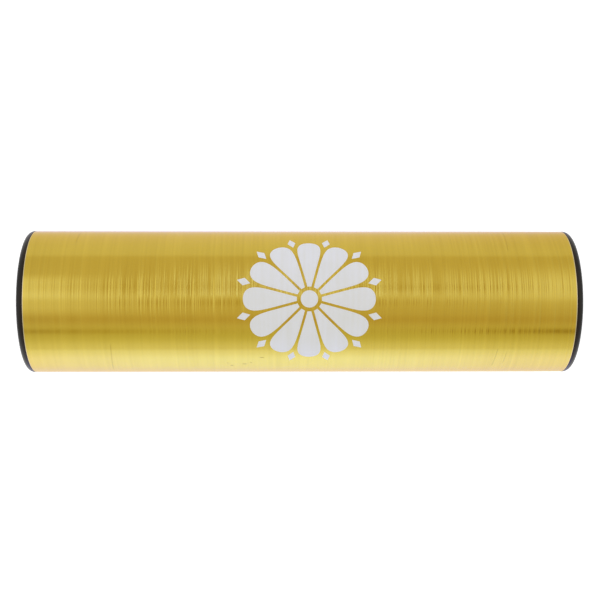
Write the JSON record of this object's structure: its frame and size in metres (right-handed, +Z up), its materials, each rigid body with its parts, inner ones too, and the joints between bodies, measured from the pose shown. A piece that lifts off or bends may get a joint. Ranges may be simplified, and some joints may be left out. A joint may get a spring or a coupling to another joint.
{
  "type": "ganza shaker",
  "caption": "Hand-held percussion shaker: a brushed metal tube closed by push-in plastic end caps, with loose steel shot that slides, tumbles and flies across inside it when shaken.",
  "frame": {"origin": "on the surface that the shaker lies on, under the middle of the tube", "axes": "+X along the tube to the right-hand cap, +Z up to the side that carries the emblem, +Y across the tube"},
  "size_m": [0.21, 0.055, 0.055],
  "materials": {
    "tube": "gold anodised, brushed round the tube",
    "end_cap": "black, satin moulded",
    "shot": "tumbled steel balls"
  },
  "bodies": {
    "shaker": {"tube": "tube", "end_cap_left": "end_cap", "end_cap_right": "end_cap"},
    "heap_foot": {"shot_bottom_row_3": "shot"},
    "heap_core": {"shot_top_row": "shot"},
    "bottom_row_1": {"shot_bottom_row_1": "shot"},
    "bottom_row_2": {"shot_bottom_row_2": "shot"},
    "bottom_row_4": {"shot_bottom_row_4": "shot"},
    "bottom_row_5": {"shot_bottom_row_5": "shot"},
    "upper_row_1": {"shot_upper_row_1": "shot"},
    "upper_row_2": {"shot_upper_row_2": "shot"},
    "upper_row_3": {"shot_upper_row_3": "shot"},
    "upper_row_4": {"shot_upper_row_4": "shot"}
  },
  "joints": [
    {"name": "shot_tumble", "type": "hinge", "parent": "shaker", "child": "heap_foot", "pos_m": [0, 0, 0.0275], "axis": [1, 0, 0], "continuous": true},
    {"name": "shot_throw", "type": "slide", "parent": "heap_foot", "child": "heap_core", "axis": [0, 0, 1], "range_m": [0, 0.0402]},
    {"name": "bottom_row_1_slide", "type": "slide", "parent": "heap_core", "child": "bottom_row_1", "axis": [1, 0, 0], "range_m": [-0.02815, 0.02815]},
    {"name": "bottom_row_2_slide", "type": "slide", "parent": "heap_core", "child": "bottom_row_2", "axis": [1, 0, 0], "range_m": [-0.02815, 0.02815]},
    {"name": "bottom_row_4_slide", "type": "slide", "parent": "heap_core", "child": "bottom_row_4", "axis": [1, 0, 0], "range_m": [-0.02815, 0.02815]},
    {"name": "bottom_row_5_slide", "type": "slide", "parent": "heap_core", "child": "bottom_row_5", "axis": [1, 0, 0], "range_m": [-0.02815, 0.02815]},
    {"name": "upper_row_1_slide", "type": "slide", "parent": "heap_core", "child": "upper_row_1", "axis": [1, 0, 0], "range_m": [-0.04215, 0.04215]},
    {"name": "upper_row_2_slide", "type": "slide", "parent": "heap_core", "child": "upper_row_2", "axis": [1, 0, 0], "range_m": [-0.04215, 0.04215]},
    {"name": "upper_row_3_slide", "type": "slide", "parent": "heap_core", "child": "upper_row_3", "axis": [1, 0, 0], "range_m": [-0.04215, 0.04215]},
    {"name": "upper_row_4_slide", "type": "slide", "parent": "heap_core", "child": "upper_row_4", "axis": [1, 0, 0], "range_m": [-0.04215, 0.04215]}
  ]
}
